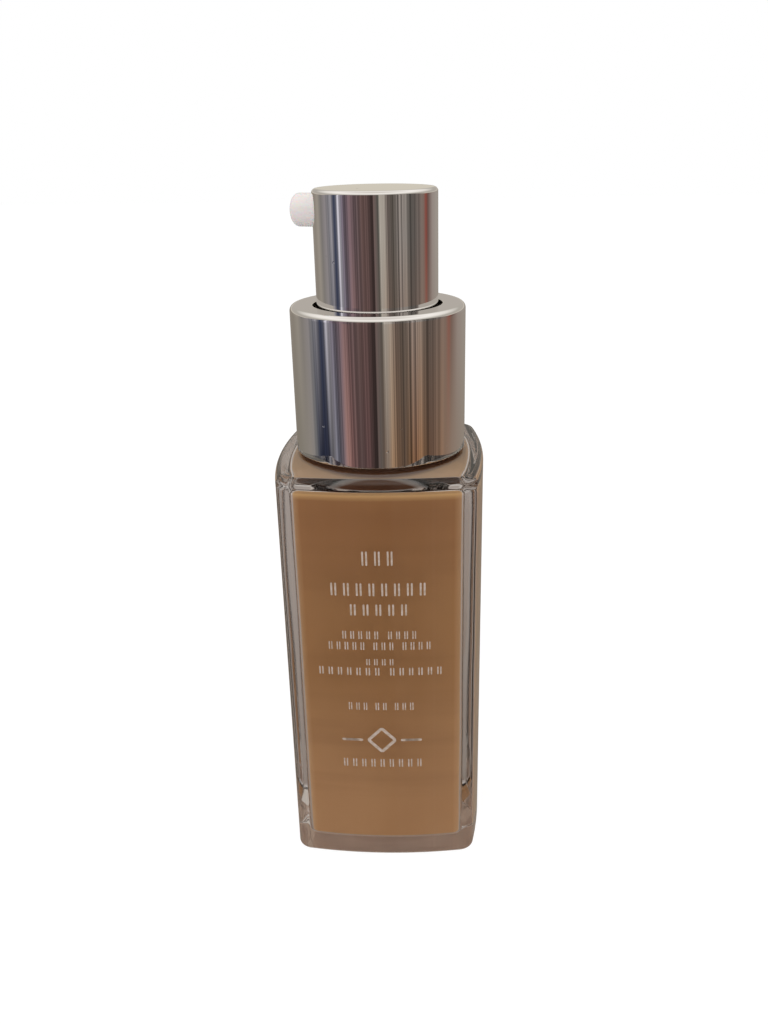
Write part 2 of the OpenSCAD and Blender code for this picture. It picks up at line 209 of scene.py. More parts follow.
def skin(name, grid, closed_path=False):
    """A mesh over a grid that is closed the second way round.

    The first way it is closed too, or else its first and last rows are points on the axis, and become
    one vertex each. The faces are turned so that the volume inside them is positive.
    """
    rows, columns = grid.shape[:2]
    index = np.arange(rows * columns).reshape(rows, columns)
    after = np.roll(index, -1, axis=1)
    if closed_path:
        upper, upper_after = np.roll(index, -1, axis=0), np.roll(after, -1, axis=0)
        quads = np.stack([index, after, upper_after, upper], axis=2).reshape(-1, 4)
        faces = quads.tolist()
    else:
        quads = np.stack([index[1:-2], after[1:-2], after[2:-1], index[2:-1]], axis=2).reshape(-1, 4)
        first = np.stack([np.full(columns, index[0, 0]), after[1], index[1]], axis=1)
        last = np.stack([np.full(columns, index[-1, 0]), index[-2], after[-2]], axis=1)
        faces = quads.tolist() + first.tolist() + last.tolist()
    return solid(name, grid.reshape(-1, 3), faces)


def solid(name, vertices, faces):
    """A smooth closed mesh, with unused vertices dropped and its faces turned outwards."""
    vertices = np.asarray(vertices)
    used, packed = np.unique(np.concatenate([np.asarray(f) for f in faces]), return_inverse=True)
    sizes = np.array([len(f) for f in faces])
    faces = [f.tolist() for f in np.split(packed, np.cumsum(sizes)[:-1])]
    vertices = vertices[used]
    fans = np.array([(f[0], f[k], f[k + 1]) for f in faces for k in range(1, len(f) - 1)])
    a, b, c = vertices[fans[:, 0]], vertices[fans[:, 1]], vertices[fans[:, 2]]
    if np.einsum("ij,ij->", a, np.cross(b, c)) < 0:
        faces = [f[::-1] for f in faces]
    mesh = bpy.data.meshes.new(name)
    mesh.from_pydata(vertices.tolist(), [], faces)
    mesh.shade_smooth()
    mesh.update()
    piece = bpy.data.objects.new(name, mesh)
    bpy.context.scene.collection.objects.link(piece)
    return piece


def place(piece, body, slot, material, *nodes):
    """Gives a piece its material and its body, and hides the nodes that it stands for; slot is not used."""
    piece.data.materials.append(material)
    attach(piece, body)
    if nodes:
        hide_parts(*nodes)
    return piece


# ---------------------------------------------------------------- materials
class Finish:
    """A material with one Principled shader, and short ways to add procedural detail to it."""

    def __init__(self, name, colour, roughness, **inputs):
        self.material = bpy.data.materials.new(name)
        self.material.use_nodes = True
        self.tree = self.material.node_tree
        self.shader = self.tree.nodes["Principled BSDF"]
        self.output = self.tree.nodes["Material Output"]
        self.shader.inputs["Base Color"].default_value = (*colour, 1)
        self.shader.inputs["Roughness"].default_value = roughness
        for socket, value in inputs.items():
            self.shader.inputs[socket.replace("_", " ")].default_value = value
        self.where = self.tree.nodes.new("ShaderNodeTexCoord").outputs["Object"]

    def node(self, kind, **settings):
        made = self.tree.nodes.new(kind)
        for key, value in settings.items():
            setattr(made, key, value)
        return made

    def link(self, output, target):
        self.tree.links.new(output, target)

    def noise(self, scale, detail=3.0, stretch=(1, 1, 1)):
        """Noise over the object, its features about 1 / scale metres across."""
        mapping = self.node("ShaderNodeMapping")
        mapping.inputs["Scale"].default_value = stretch
        self.link(self.where, mapping.inputs["Vector"])
        made = self.node("ShaderNodeTexNoise")
        made.inputs["Scale"].default_value = scale
        made.inputs["Detail"].default_value = detail
        self.link(mapping.outputs["Vector"], made.inputs["Vector"])
        return made.outputs["Fac"]

    def remap(self, value, low, high, start=0.3, end=0.7):
        """value, from start to end, as low to high."""
        made = self.node("ShaderNodeMapRange")
        for socket, number in zip(("From Min", "From Max", "To Min", "To Max"), (start, end, low, high)):
            made.inputs[socket].default_value = number
        self.link(value, made.inputs["Value"])
        return made.outputs["Result"]

    def blend(self, factor, first, second):
        """Two colours, or a colour output and a colour, mixed by factor."""
        made = self.node("ShaderNodeMix", data_type="RGBA")
        self.link(factor, made.inputs["Factor"])
        for socket, colour in zip(("A", "B"), (first, second)):
            target = [s for s in made.inputs if s.name == socket and s.type == "RGBA"][0]
            if isinstance(colour, tuple):
                target.default_value = (*colour, 1)
            else:
                self.link(colour, target)
        return [s for s in made.outputs if s.type == "RGBA"][0]

    def product(self, first, second):
        made = self.node("ShaderNodeMath", operation="MULTIPLY")
        self.link(first, made.inputs[0])
        self.link(second, made.inputs[1])
        return made.outputs[0]

    def colour(self, output):
        self.link(output, self.shader.inputs["Base Color"])

    def rough(self, output):
        self.link(output, self.shader.inputs["Roughness"])

    def bump(self, height, distance, strength=1.0):
        made = self.node("ShaderNodeBump")
        made.inputs["Strength"].default_value = strength
        made.inputs["Distance"].default_value = distance
        self.link(height, made.inputs["Height"])
        self.link(made.outputs["Normal"], self.shader.inputs["Normal"])


def clear_glass():
    """Flint glass with the faint waviness of a blown bottle; lamps shine through it."""
    finish = Finish("clear_glass", (0.985, 0.975, 0.965), 0.0, Transmission_Weight=1.0, IOR=1.5)
    finish.bump(finish.noise(90, 2.0, (1, 1, 0.35)), 0.08 * MM, 0.5)
    clear = finish.node("ShaderNodeBsdfTransparent")
    clear.inputs["Color"].default_value = (0.93, 0.92, 0.91, 1)
    path = finish.node("ShaderNodeLightPath")
    mix = finish.node("ShaderNodeMixShader")
    finish.link(path.outputs["Is Shadow Ray"], mix.inputs[0])
    finish.link(finish.shader.outputs["BSDF"], mix.inputs[1])
    finish.link(clear.outputs["BSDF"], mix.inputs[2])
    finish.link(mix.outputs["Shader"], finish.output.inputs["Surface"])
    return finish.material


def liquid_foundation():
    """Opaque pigmented liquid that wets glass: soft clouds, faint level lines, painted shade towards the top
    and under the collar, and painted light on its upward faces and in thin paler edges along its brim and
    sides.

    Light that grazes its walls and top inside the denser glass is mirrored, which keeps them bright.
    """
    finish = Finish("liquid_foundation", srgb("8a6443"), 0.03, Specular_IOR_Level=0.0)
    axes = finish.node("ShaderNodeSeparateXYZ")
    finish.link(finish.where, axes.inputs["Vector"])
    # painted shade: the liquid darkens towards the top, gently from 11 to 31 mm above the cavity floor and
    # again over the last 18 mm under the ceiling
    high = finish.remap(axes.outputs["Z"], 0, 1, cavity_z[0] + 11 * MM, cavity_z[0] + 31 * MM)
    body = finish.blend(high, srgb("c9996c"), srgb("b08052"))
    top = finish.remap(axes.outputs["Z"], 0, 1, cavity_z[1] - 18 * MM, cavity_z[1] - 5 * MM)
    body = finish.blend(top, body, srgb("a06e44"))
    clouds = finish.remap(finish.noise(55, 4.0, (1, 1, 0.6)), 0.0, 0.6)
    body = finish.blend(clouds, body, srgb("b48257"))
    lines = finish.remap(finish.noise(160, 3.0, (0.06, 0.06, 1)), 0.0, 0.4, 0.5, 0.75)
    body = finish.blend(lines, body, srgb("8e6340"))
    # painted highlight: a thin pale golden line along the liquid's top edge
    brim_highlight = finish.remap(axes.outputs["Z"], 0, 0.8, cavity_z[1] - 1.4 * MM, cavity_z[1] - 0.5 * MM)
    body = finish.blend(brim_highlight, body, srgb("e0b47a"))
    # painted highlight: thin paler strips along the liquid's left and right edges
    side = finish.node("ShaderNodeMath", operation="ABSOLUTE")
    finish.link(axes.outputs["X"], side.inputs[0])
    side_highlight = finish.remap(side.outputs[0], 0, 0.55, cavity_half - 2.4 * MM, cavity_half - 1.2 * MM)
    body = finish.blend(side_highlight, body, srgb("d3aa80"))
    # painted light: faces that look upwards are made paler
    facing = finish.node("ShaderNodeSeparateXYZ")
    finish.link(finish.node("ShaderNodeNewGeometry").outputs["Normal"], facing.inputs["Vector"])
    upward = finish.remap(facing.outputs["Z"], 0, 1, 0.3, 0.6)
    body = finish.blend(upward, body, srgb("bb9164"))
    # painted shadow: upward faces within the collar's radius are made dark brown and lose their mirroring
    flat = finish.node("ShaderNodeVectorMath", operation="MULTIPLY")
    finish.link(finish.where, flat.inputs[0])
    flat.inputs[1].default_value = (1, 1, 0)
    radius = finish.node("ShaderNodeVectorMath", operation="LENGTH")
    finish.link(flat.outputs[0], radius.inputs[0])
    under_collar = finish.remap(radius.outputs["Value"], 1, 0, collar_r - 1.0 * MM, collar_r)
    collar_shadow = finish.product(upward, under_collar)
    body = finish.blend(collar_shadow, body, srgb("6c4a37"))
    graze = finish.node("ShaderNodeFresnel")
    graze.inputs["IOR"].default_value = 0.78
    mirror = finish.product(graze.outputs["Fac"], finish.remap(facing.outputs["Z"], 0.36, 1, -0.6, -0.3))
    mirror = finish.product(mirror, finish.remap(collar_shadow, 1, 0, 0, 1))
    finish.colour(finish.blend(mirror, body, (0.95, 0.95, 0.95)))
    finish.link(mirror, finish.shader.inputs["Metallic"])
    return finish.material


def bright_chrome():
    """Mirror metallising with a breath of unevenness, fine wipe marks and a few pinholes."""
    finish = Finish("bright_chrome", (0.9, 0.89, 0.88), 0.06, Metallic=1.0)
    haze = finish.remap(finish.noise(220, 4.0), 0.01, 0.03)
    finish.rough(haze)
    dots = finish.node("ShaderNodeTexVoronoi", feature="F1")
    dots.inputs["Scale"].default_value = 330
    finish.link(finish.where, dots.inputs["Vector"])
    pit = finish.remap(dots.outputs["Distance"], 0.0, 1.0, 0.02, 0.07)
    rare = finish.remap(finish.noise(140, 0.0), 0.0, 1.0, 0.62, 0.66)
    either = finish.node("ShaderNodeMath", operation="MAXIMUM")
    keep = finish.node("ShaderNodeMath", operation="SUBTRACT")
    keep.inputs[0].default_value = 1.0
    finish.link(rare, keep.inputs[1])
    finish.link(pit, either.inputs[0])
    finish.link(keep.outputs[0], either.inputs[1])
    finish.bump(either.outputs[0], 0.03 * MM, 0.6)
    return finish.material


def glossy_white():
    """White polypropylene, slightly translucent, with moulding flow in its gloss."""
    finish = Finish("glossy_white", srgb("ece6e4"), 0.3, Subsurface_Weight=0.25, Subsurface_Scale=0.0008,
                    Coat_Weight=0.2, Coat_Roughness=0.15)
    finish.rough(finish.remap(finish.noise(400, 3.0), 0.24, 0.36))
    finish.colour(finish.blend(finish.noise(120, 2.0), srgb("eee8e6"), srgb("e6dedb")))
    return finish.material


def moulded(name, colour, shade, roughness=0.45):
    """Plain moulded plastic: faint mottling and a fine spark-eroded texture."""
    finish = Finish(name, colour, roughness)
    finish.colour(finish.blend(finish.noise(150, 3.0), colour, shade))
    finish.rough(finish.remap(finish.noise(500, 2.0), roughness - 0.06, roughness + 0.08))
    finish.bump(finish.noise(2500, 2.0), 0.01 * MM, 0.3)
    return finish.material


def stainless():
    """Drawn stainless wire: fine streaks in its shine."""
    finish = Finish("stainless", srgb("b9b9ba"), 0.25, Metallic=1.0)
    finish.rough(finish.remap(finish.noise(900, 3.0, (1, 1, 0.2)), 0.18, 0.34))
    return finish.material


def screen_ink():
    """Pale baked ink with pinholes where the glass shows through its film."""
    finish = Finish("screen_ink", srgb("cbbcb2"), 0.5)
    mottle = finish.remap(finish.noise(1500, 3.0), 0.0, 1.0)
    finish.colour(finish.blend(mottle, srgb("c2b2a7"), srgb("a8937f")))
    finish.bump(finish.noise(3000, 2.0), 0.005 * MM, 0.4)
    return finish.material


GLASS = clear_glass()
LIQUID = liquid_foundation()
CHROME = bright_chrome()
WHITE = glossy_white()
NATURAL = moulded("natural_plastic", srgb("e4e2da"), srgb("d8d6cd"))
# painted shade: the collar liner and screw cap are coloured dark brown to stand for the shade in the gap
# round the actuator
DARK_SHADE_PLASTIC = moulded("dark_shade_plastic", srgb("48382f"), srgb("3d2f28"), 0.5)
SEAL = moulded("seal_rubber", srgb("5b5958"), srgb("4d4b4a"), 0.7)
STEEL = stainless()
INK = screen_ink()


# ---------------------------------------------------------------- glass and liquid
def wall_waves(grid, depth=0.04 * MM):
    """Moves a wall's points away from the axis by slow waves, as the inside of blown glass wanders.

    The wave is sin(a) cos(b) + 0.6 sin(c), with a, b and c sums of multiples of x, y and z.
    """
    x, y, z = grid[..., 0], grid[..., 1], grid[..., 2]
    wave = np.sin(x * 420 + z * 95) * np.cos(y * 380 - z * 70) + 0.6 * np.sin(z * 260 + x * 130 - y * 90)
    away = np.stack([x, y, 0 * z], axis=-1)
    away /= np.maximum(np.linalg.norm(away, axis=-1, keepdims=True), MM)
    return grid + depth * wave[..., None] * away


def quarter_round(r, z, sense, steps=9):
    """Insets and heights of a quarter round: sense 1 rises from a floor, -1 closes under a ceiling."""
    a = np.radians(np.linspace(0, 90, steps))
    if sense > 0:
        return r * (1 - np.sin(a)), z + r * (1 - np.cos(a))
    return r * (1 - np.cos(a)), z - r * (1 - np.sin(a))


def cavity_wall(sunk):
    """Rings of the cavity, from its floor to its ceiling, moved outwards by sunk."""
    points, normals = bowed_square(cavity_half, CAVITY_CORNER_R)
    low_in, low_z = quarter_round(CAVITY_EDGE_R, cavity_z[0], 1)
    high_in, high_z = quarter_round(CAVITY_EDGE_R, cavity_z[1], -1)
    side_z = np.linspace(low_z[-1], high_z[0], 26)[1:-1]
    insets = np.concatenate([low_in, 0 * side_z, high_in]) - sunk
    heights = np.concatenate([low_z - sunk, side_z, high_z + sunk])
    return points, wall_waves(rings(points, normals, insets, heights))


def glass_body():
    """The glass as one skin.

    It runs from the middle of the base over the outside, up the neck, down its bore and round the
    cavity to the middle of the floor.
    """
    points, normals = bowed_square(half_w, CORNER_R)
    punt_z = PUNT_DEPTH * (1 - np.array([0, 0.25, 0.5, 0.75, 0.9, 1.0]) ** 2)
    punt = circles(points, PUNT_R * np.array([0, 0.25, 0.5, 0.75, 0.9, 1.0]), punt_z)
    low_in, low_z = quarter_round(BASE_EDGE_R, 0, 1, 11)
    high_in, high_z = quarter_round(SHOULDER_EDGE_R, shoulder_edge_z, -1, 11)
    side_z = np.concatenate([[low_z[-1] + 0.2 * MM], np.linspace(low_z[-1], high_z[0], 22)[1:-1],
                             [high_z[0] - 0.2 * MM]])
    outside = rings(points, normals, np.concatenate([low_in, 0 * side_z, high_in]),
                    np.concatenate([low_z, side_z, high_z]))
    base = between(punt[-1], outside[0], [0.15, 0.5, 0.92])
    root = circles(points, [NECK_R + NECK_FILLET], [shoulder_z])[0]
    shoulder = between(outside[-1], root, [0.04, 0.2, 0.4, 0.6, 0.8, 0.95], 0.12 * MM)
    neck_path = rounded_path([
        (NECK_R + NECK_FILLET, shoulder_z, 0), (NECK_R, shoulder_z, 0.6 * MM), (NECK_R, neck_top, 0.5 * MM),
        (NECK_BORE_R, neck_top, 0.5 * MM), (NECK_BORE_R, cavity_z[1], 0.5 * MM),
        (NECK_BORE_R + 1.5 * MM, cavity_z[1], 0)], closed=False)
    neck = circles(points, neck_path[:, 0], neck_path[:, 1])
    cavity = cavity_wall(0)[1][::-1]
    ceiling = between(neck[-1], cavity[0], [0.3, 0.6, 0.95])
    floor = between(cavity[-1], circles(points, [0], [cavity_z[0]])[0], [0.05, 0.35, 0.7, 1.0])
    grid = np.concatenate([punt, base, outside, shoulder, neck, ceiling, cavity, floor])
    return skin("glass_body", grid)


def glass_thread():
    """The ridge on the neck: a rounded bump carried along a helix, sunk into the neck and faded at its ends.

    At turn t the ridge stands at angle 2 pi t and height t times the pitch.
    """
    t = np.linspace(0, THREAD_TURNS, 130)[:, None]
    v = np.linspace(0, 2 * pi, 16, endpoint=False)[None]
    fade = np.clip(np.minimum(t, THREAD_TURNS - t) / 0.2, 0, 1) ** 0.5
    r = NECK_R - THREAD_SUNK + (THREAD_RIDGE + THREAD_SUNK) * fade * np.maximum(np.cos(v), -0.2)
    start_z = neck_top - THREAD_END - THREAD_PITCH * THREAD_TURNS
    z = start_z + THREAD_PITCH * t + THREAD_HALF * fade * np.sin(v)
    grid = np.stack([r * np.cos(2 * pi * t), r * np.sin(2 * pi * t), z], axis=2)
    ends = [np.repeat(grid[i].mean(axis=0)[None], grid.shape[1], axis=0)[None] for i in (0, -1)]
    return skin("glass_thread", np.concatenate([ends[0], grid, ends[1]]))


def liquid_body():
    """The liquid: the cavity's shape, with a stepped round well for the pump."""
    points, wall = cavity_wall(WETTED)
    bottom = between(circles(points, [0], [cavity_z[0] - WETTED])[0], wall[0], [0, 0.3, 0.65, 0.95])
    housing_r = HOUSING_R + WELL_FIT
    dip_r = dip_high[0] + WELL_FIT
    socket_r = dip_high[0] + SOCKET_T + WELL_FIT
    cage_z = dip_high[2] - WELL_FIT
    socket_z = housing_low[2] - WELL_FIT
    end_z = dip_low[2] - WELL_FIT
    well_path = rounded_path([
        (housing_r + 1.0 * MM, cavity_z[1] + WETTED, 0), (housing_r, cavity_z[1] + WETTED, 0.2 * MM),
        (housing_r, cage_z, 0.2 * MM), (socket_r, cage_z, 0.2 * MM), (socket_r, socket_z, 0.2 * MM),
        (dip_r, socket_z, 0.2 * MM), (dip_r, end_z, 0.2 * MM), (0, end_z, 0)], closed=False, steps=4)
    well = circles(points, well_path[:, 0], well_path[:, 1])
    top = between(wall[-1], well[0], [0.05, 0.4, 0.8])
    return skin("liquid_body", np.concatenate([bottom, wall, top, well]))


place(glass_body(), "bottle", "clear_glass", GLASS, "glass_bottle")
place(glass_thread(), "bottle", "clear_glass", GLASS)
place(liquid_body(), "bottle", "foundation", LIQUID, "foundation_fluid")


# ---------------------------------------------------------------- chrome and nozzle
def collar():
    """Turned skin of the collar: outer wall, flat top, and a lip turned down round the actuator."""
    hole_r = button_r + ACTUATOR_FIT
    in_r = collar_r - METAL_T
    low, high = collar_low[2], collar_high[2]
    path = rounded_path([
        (in_r, low, SOFT_EDGE), (collar_r, low, SOFT_EDGE * 2), (collar_r, high, COLLAR_EDGE_R),
        (hole_r, high, COLLAR_LIP_EDGE_R), (hole_r, high - COLLAR_LIP, SOFT_EDGE),
        (hole_r + METAL_T, high - COLLAR_LIP, SOFT_EDGE), (hole_r + METAL_T, high - METAL_T, 0.3 * MM),
        (in_r, high - METAL_T, 0.4 * MM)])
    return skin("collar_wall", revolve(path), closed_path=True)


def button():
    """Turned skin of the actuator's chrome cup."""
    in_r = button_r - METAL_T
    low, high = button_low[2], button_high[2]
    path = rounded_path([
        (0, high, 0), (button_r, high, BUTTON_EDGE_R), (button_r, low, SOFT_EDGE), (in_r, low, SOFT_EDGE),
        (in_r, high - METAL_T, BUTTON_EDGE_R - METAL_T), (0, high - METAL_T, 0)], closed=False, steps=9)
    return skin("button_cup", revolve(path))


def nozzle():
    """Turned skin of the nozzle: a round nub with a blind outlet in its end.

    It is laid along -X and swung back by NOZZLE_TURN.
    """
    r = (nozzle_high[2] - nozzle_low[2]) / 2
    outlet_r = 0.45 * MM
    root, tip = 0.55 * button_r, collar_r - 0.15 * MM
    path = rounded_path([
        (0, root, 0), (r, root, 0.2 * MM), (r, tip, 0.82 * r), (outlet_r, tip, 0.12 * MM),
        (outlet_r, tip - 2.5 * MM, 0.1 * MM), (0, tip - 2.5 * MM, 0)], closed=False, steps=12)
    grid = revolve(path, 72)
    middle = (nozzle_high[2] + nozzle_low[2]) / 2
    c, s = cos(NOZZLE_TURN), sin(NOZZLE_TURN)
    along, across = grid[..., 2], grid[..., 1]
    return skin("nozzle_nub", np.stack([across * s - along * c, across * c + along * s,
                                        grid[..., 0] + middle], axis=2))


place(collar(), "closure", "chrome", CHROME, "collar_shell")
place(button(), "actuator", "chrome", CHROME, "actuator_shell")
place(nozzle(), "actuator", "white_plastic", WHITE, "nozzle_tip")


# ---------------------------------------------------------------- spring
def spring():
    """The return spring's wire: a circle carried along a helix, closed to a point at both ends.

    At turn t the wire's middle stands at angle 2 pi t, its height rising evenly from end to end.
    """
    thick = SPRING_WIRE / 2
    low, high = spring_low[2] + thick, spring_high[2] - thick
    t = np.linspace(0, SPRING_TURNS, 48 * SPRING_TURNS + 1)[:, None]
    b = np.linspace(0, 2 * pi, 14, endpoint=False)[None]
    r = spring_high[0] - thick + thick * np.cos(b) + 0 * t
    z = low + (high - low) * t / SPRING_TURNS + thick * np.sin(b)
    grid = np.stack([r * np.cos(2 * pi * t), r * np.sin(2 * pi * t), z], axis=2)
    ends = [np.repeat(grid[i].mean(axis=0)[None], grid.shape[1], axis=0)[None] for i in (0, -1)]
    return skin("spring_coil", np.concatenate([ends[0], grid, ends[1]]))


SPRING_COIL = place(spring(), "pump", "steel", STEEL, "return_spring")
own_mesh(SPRING_COIL)


# ---------------------------------------------------------------- print on the front
INK_PROUD = 0.01 * MM
INK_T = 0.03 * MM


def face_y(x):
    """Depth of the front face at x: the arc of its bulge."""
    chord = half_w - CORNER_R
    flat_r = (chord ** 2 + FACE_BOW ** 2) / (2 * FACE_BOW)
    return -(half_w - flat_r) - np.sqrt(flat_r ** 2 - x ** 2)


def ink_patch(outline):
    """Vertices and faces of a thin patch of ink on the front face, from an outline of (x, z) points."""
    n = len(outline)
    x, z = outline[:, 0], outline[:, 1]
    front = np.stack([x, face_y(x) - INK_PROUD, z], axis=1)
    back = np.stack([x, face_y(x) - INK_PROUD + INK_T, z], axis=1)
    i = np.arange(n)
    sides = np.stack([i, (i + 1) % n, n + (i + 1) % n, n + i], axis=1)
    return np.concatenate([front, back]), [i.tolist(), (n + i[::-1]).tolist()] + sides.tolist()


def pill(x, z, w, h, turn=0.0):
    """Outline of a bar with round ends, w by h, its middle at (x, z)."""
    r = 0.5 * min(w, h) * 0.9
    cx, cz = w / 2 - r, h / 2 - r
    a = np.radians(np.linspace(0, 90, 5))
    corner = np.stack([cx + r * np.cos(a), cz + r * np.sin(a)], axis=1)
    outline = np.concatenate([corner, (corner * [-1, 1])[::-1], corner * [-1, -1], (corner * [1, -1])[::-1]])
    c, s = cos(turn), sin(turn)
    return outline @ np.array([[c, s], [-s, c]]) + [x, z]


def greeked_row(z, h, words, w, gap, space):
    """Outlines of a centred row: each word is a run of close pairs of upright strokes."""
    stroke = 0.23 * w
    total = sum(n * w + (n - 1) * gap for n in words) + space * (len(words) - 1)
    x = -total / 2
    outlines = []
    for n in words:
        starts = x + np.arange(n) * (w + gap)
        outlines += [pill(start + share * w, z, stroke, h) for start in starts for share in (0.26, 0.74)]
        x = starts[-1] + w + space
    return outlines


def front_print():
    """Greeked rows with no lettering, over a plain lozenge between two rules."""
    rows = [
        (54.9, 2.3, [3], 1.2, 0.7, 0), (49.8, 2.1, [4, 4], 1.25, 0.68, 0.68), (46.4, 1.9, [5], 1.25, 0.7, 0),
        (42.1, 1.35, [5, 4], 0.82, 0.42, 1.3), (40.2, 1.35, [5, 3, 4], 0.82, 0.42, 1.2),
        (37.4, 1.1, [4], 0.8, 0.42, 0), (35.7, 1.35, [7, 6], 0.95, 0.52, 1.4),
        (29.4, 1.35, [3, 2, 3], 0.78, 0.42, 1.1), (18.7, 1.5, [9], 0.95, 0.55, 0)]
    outlines = []
    for z, h, words, w, gap, space in rows:
        outlines += greeked_row(z * MM, h * MM, words, w * MM, gap * MM, space * MM)
    mark_z, arm = 23.1 * MM, 3.2 * MM
    for side in (-1, 1):
        outlines.append(pill(side * 4.75 * MM, mark_z, 3.4 * MM, 0.42 * MM))
        for lean in (-1, 1):
            outlines.append(pill(side * 0.34 * arm, mark_z + lean * side * 0.34 * arm, arm, 0.5 * MM,
                                 -lean * pi / 4))
    vertices, faces, count = [], [], 0
    for outline in outlines:
        patch, patch_faces = ink_patch(outline)
        faces += [[count + i for i in face] for face in patch_faces]
        vertices.append(patch)
        count += len(patch)
    piece = solid("front_print", np.concatenate(vertices), faces)
    piece.data.shade_flat()
    return piece


place(front_print(), "bottle", "white_plastic", INK)


# ---------------------------------------------------------------- finishes of the other parts
NODE_FINISHES = {
    NATURAL: ("dip_tube", "pump_housing", "stem_plate", "piston", "pump_stem", "housing_cap"),
    DARK_SHADE_PLASTIC: ("screw_cap", "collar_liner"),
    SEAL: ("neck_gasket",),
    STEEL: ("inlet_ball",),
    WHITE: ("actuator_core",),
}
for finish, names in NODE_FINISHES.items():
    for name in names:
        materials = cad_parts[name].data.materials
        if not materials:
            materials.append(finish)
        for index in range(len(materials)):
            materials[index] = finish


# ---------------------------------------------------------------- studio
def look_from(place_m, pitch, yaw, roll):
    """Camera pose from its place, and its angles in degrees: down, to the left, and clockwise."""
    pitch, yaw, roll = radians(pitch), radians(yaw), radians(roll)
    ahead = Vector((-sin(yaw) * cos(pitch), cos(yaw) * cos(pitch), -sin(pitch)))
    right = Vector((cos(yaw), sin(yaw), 0))
    up = right.cross(ahead)
    level_right = cos(roll) * right - sin(roll) * up
    level_up = sin(roll) * right + cos(roll) * up
    columns = (level_right, level_up, -ahead)
    turn = Matrix([[column[i] for column in columns] for i in range(3)])
    return Matrix.Translation(place_m) @ turn.to_4x4()


def camera():
    data = bpy.data.cameras.new("camera")
    data.lens = 36.1
    data.sensor_width = 36
    data.shift_x = -0.0173
    data.shift_y = 0.0734
    data.clip_start = 0.005
    made = bpy.data.objects.new("camera", data)
    bpy.context.scene.collection.objects.link(made)
    made.matrix_world = look_from(Vector(CAMERA_AT), *CAMERA_TURN)
    bpy.context.scene.camera = made


def soft_lamp(name, place_m, target, size, watts, colour=(1, 1, 1)):
    data = bpy.data.lights.new(name, "AREA")
    data.shape = "RECTANGLE"
    data.size, data.size_y = size
    data.energy = watts
    data.color = colour
    made = bpy.data.objects.new(name, data)
    bpy.context.scene.collection.objects.link(made)
    made.location = place_m
    made.rotation_euler = (Vector(target) - Vector(place_m)).to_track_quat("-Z", "Y").to_euler()
    made.visible_glossy = False
    made.visible_transmission = False
    return made


# What the chrome mirrors round it, low down and higher up, by azimuth in degrees: 0 is towards the
# front, 90 to the right. OVERHEAD goes by the height of the line of sight, from -1 to 1.
LOW_SURROUND = [
    (-180, "8a8074"), (-150, "80796e"), (-129, "857f75"), (-108, "8f8880"), (-99, "898480"), (-95, "737272"),
    (-88, "3a3d4a"), (-84, "1e2233"), (-70, "2a2c3a"), (-64, "656367"), (-55, "5d5d68"), (-47, "5c5055"),
    (-41, "81625c"), (-35, "7a5a57"), (-31, "5e4745"), (-22, "4b3c3b"), (-12, "584140"), (4, "453f3b"),
    (9, "55483f"), (13, "7f7165"), (19, "7e6650"), (27, "685140"), (36, "58483d"), (43, "70553f"),
    (51, "694c3a"), (58, "7b5c43"), (75, "5f493c"), (84, "6a5344"), (93, "836753"), (116, "8e7b6d"),
    (150, "908478"), (180, "8a8074")]
HIGH_SURROUND = [
    (-180, "9a9188"), (-140, "8f877d"), (-125, "9e968c"), (-112, "7d7976"), (-100, "908a8c"), (-90, "737277"),
    (-84, "97949a"), (-77, "2f3549"), (-72, "4c4f5e"), (-67, "c6c3cc"), (-60, "5f5863"), (-44, "655357"),
    (-30, "57494a"), (-20, "594643"), (-2, "584745"), (7, "4a4541"), (9, "3a3c38"), (12, "aaa298"),
    (19, "857e76"), (25, "645a55"), (36, "56504a"), (44, "7f7772"), (61, "746e69"), (70, "5f5a56"),
    (79, "56504c"), (89, "6b615c"), (101, "7f6e66"), (108, "8a4a40"), (114, "69524c"), (130, "998d87"),
    (150, "a09890"), (180, "9a9188")]
OVERHEAD = [
    (-1.0, "6e6258"), (0.0, "8c857b"), (0.05, "d2cbbc"), (0.15, "b4ada5"), (0.35, "b3aea5"), (0.6, "ebe6df"),
    (0.8, "fffaf5"), (1.0, "d8d2ca")]

# What shows through clear glass, by height of the line of sight
BEHIND_GLASS = [
    (-1.0, "7d7268"), (-0.6, "8f857d"), (-0.35, "a29993"), (-0.1, "b3aba6"), (0.1, "cfc9c4"), (0.5, "b5aca2"),
    (1.0, "d8d4d0")]


class WorldNodes:
    """Short ways to build the world's shader."""

    def __init__(self, world):
        world.use_nodes = True
        self.tree = world.node_tree
        self.tree.nodes.clear()

    def node(self, kind, links=(), **settings):
        made = self.tree.nodes.new(kind)
        for key, value in settings.items():
            setattr(made, key, value)
        for socket, source in links:
            if isinstance(source, (int, float)):
                made.inputs[socket].default_value = source
            else:
                self.tree.links.new(source, made.inputs[socket])
        return made

    def math(self, operation, *values):
        return self.node("ShaderNodeMath", enumerate(values), operation=operation).outputs[0]

    def remap(self, value, low, high, start, end):
        """value, from start to end, as low to high."""
        links = [("Value", value), ("From Min", start), ("From Max", end), ("To Min", low), ("To Max", high)]
        return self.node("ShaderNodeMapRange", links).outputs[0]

    def ramp(self, factor, stops, low, high):
        """Colours by a value between low and high."""
        made = self.node("ShaderNodeValToRGB", [(0, factor)])
        elements = made.color_ramp.elements
        while len(elements) < len(stops):
            elements.new(1.0)
        for element, (at, code) in zip(elements, stops):
            element.position = (at - low) / (high - low)
            element.color = (*srgb(code), 1)
        return made.outputs["Color"]

    def mix(self, factor, first, second):
        made = self.node("ShaderNodeMix", data_type="RGBA")
        self.tree.links.new(factor, made.inputs["Factor"])
        for name, source in (("A", first), ("B", second)):
            socket = [s for s in made.inputs if s.name == name and s.type == "RGBA"][0]
            if isinstance(source, tuple):
                socket.default_value = (*source, 1)
            else:
                self.tree.links.new(source, socket)
        return [s for s in made.outputs if s.type == "RGBA"][0]


